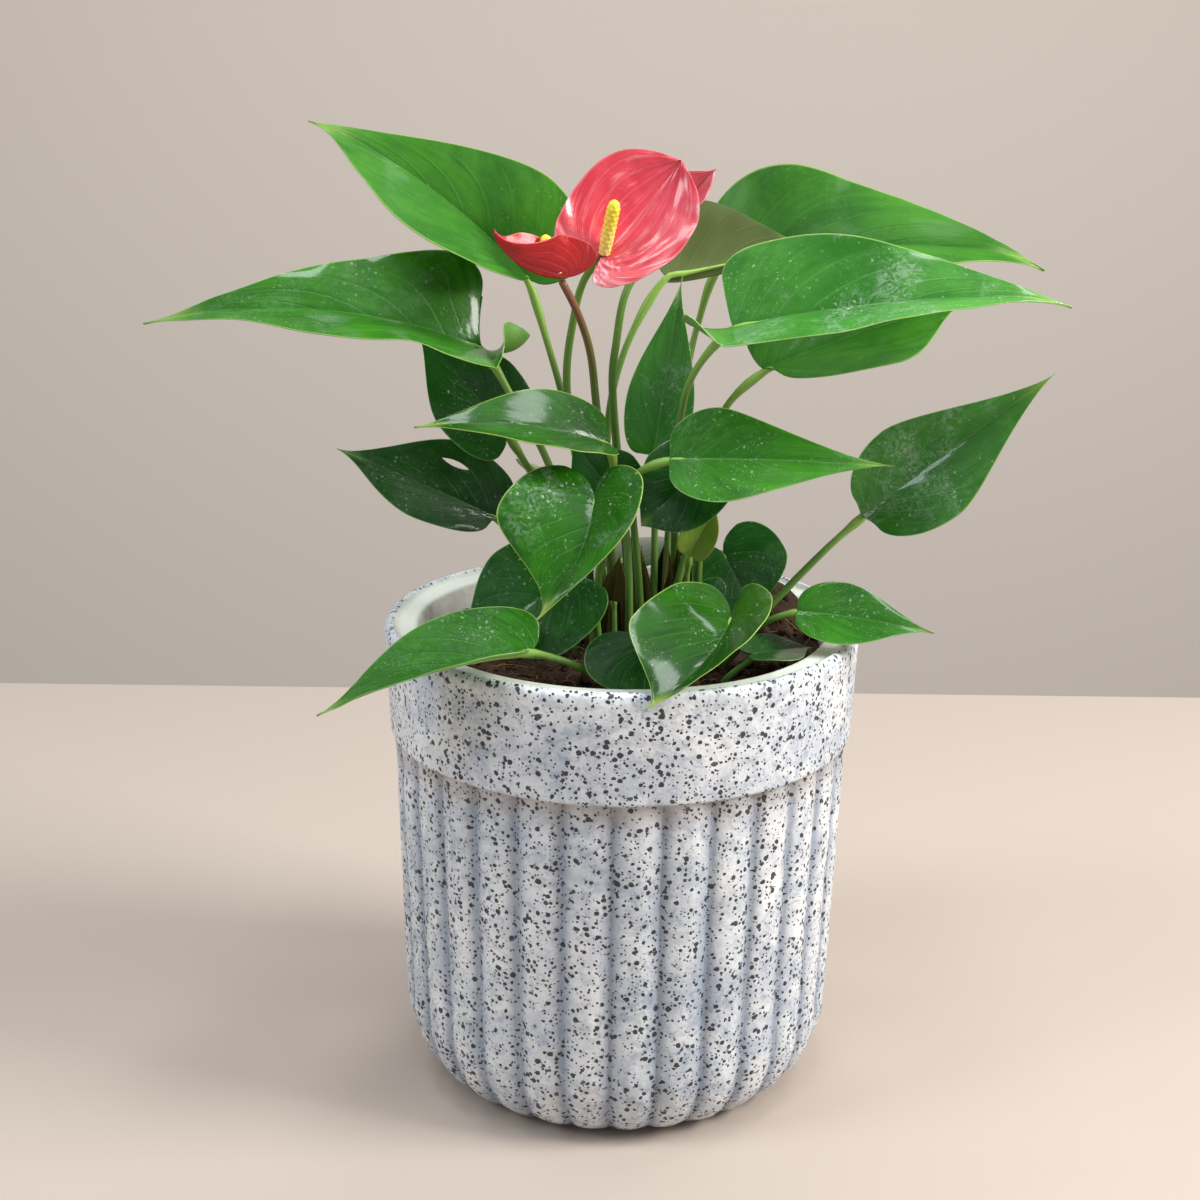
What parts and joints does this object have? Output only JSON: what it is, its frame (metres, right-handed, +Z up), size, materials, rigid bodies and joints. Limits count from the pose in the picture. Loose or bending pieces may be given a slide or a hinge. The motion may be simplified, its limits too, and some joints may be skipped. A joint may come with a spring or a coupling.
{
  "type": "potted flamingo flower",
  "caption": "Potted flamingo flower: glossy heart-shaped leaves and red waxy spathes with yellow spadices, growing in a filled round pot with a fluted body and plain collar.",
  "frame": {"origin": "the middle of the pot's base, on the face it rests on", "axes": "+Z up along the pot's axis, the front of the plant faces -Y"},
  "size_m": [0.2692, 0.1634, 0.3043],
  "materials": {
    "pot_glaze": "satin",
    "soil": "matte",
    "leaf": "gloss",
    "spathe": "gloss",
    "spadix": "matte",
    "stem": "satin"
  },
  "bodies": {
    "root": {"pot": "pot_glaze", "soil": "soil", "leaf_upper_left": "leaf", "leaf_long_left": "leaf", "leaf_shaded_left": "leaf", "leaf_glossy_left": "leaf", "leaf_heart_front": "leaf", "leaf_slit_left": "leaf", "leaf_shaded_middle": "leaf", "leaf_upright": "leaf", "leaf_pointed_right": "leaf", "leaf_shaded_right": "leaf", "leaf_large_right": "leaf", "leaf_back_right": "leaf", "leaf_olive_behind": "leaf", "leaf_under_right": "leaf", "leaf_outer_right": "leaf", "leaf_low_right": "leaf", "leaf_heart_right": "leaf", "leaf_low_left": "leaf", "leaf_round_left": "leaf", "leaf_low_front": "leaf", "leaf_soil_right": "leaf", "leaf_round_back": "leaf", "leaf_behind_heart": "leaf", "leaf_rear_left": "leaf", "leaf_rear_right": "leaf", "leaf_rear_low": "leaf", "leaf_young": "leaf", "sheath": "leaf", "spathe_main": "spathe", "spathe_cup": "spathe", "spathe_rear": "spathe", "flower_stem_main": "stem", "flower_stem_cup": "stem", "flower_stem_rear": "stem", "spadix_main": "spadix", "spadix_cup": "spadix"}
  },
  "joints": []
}
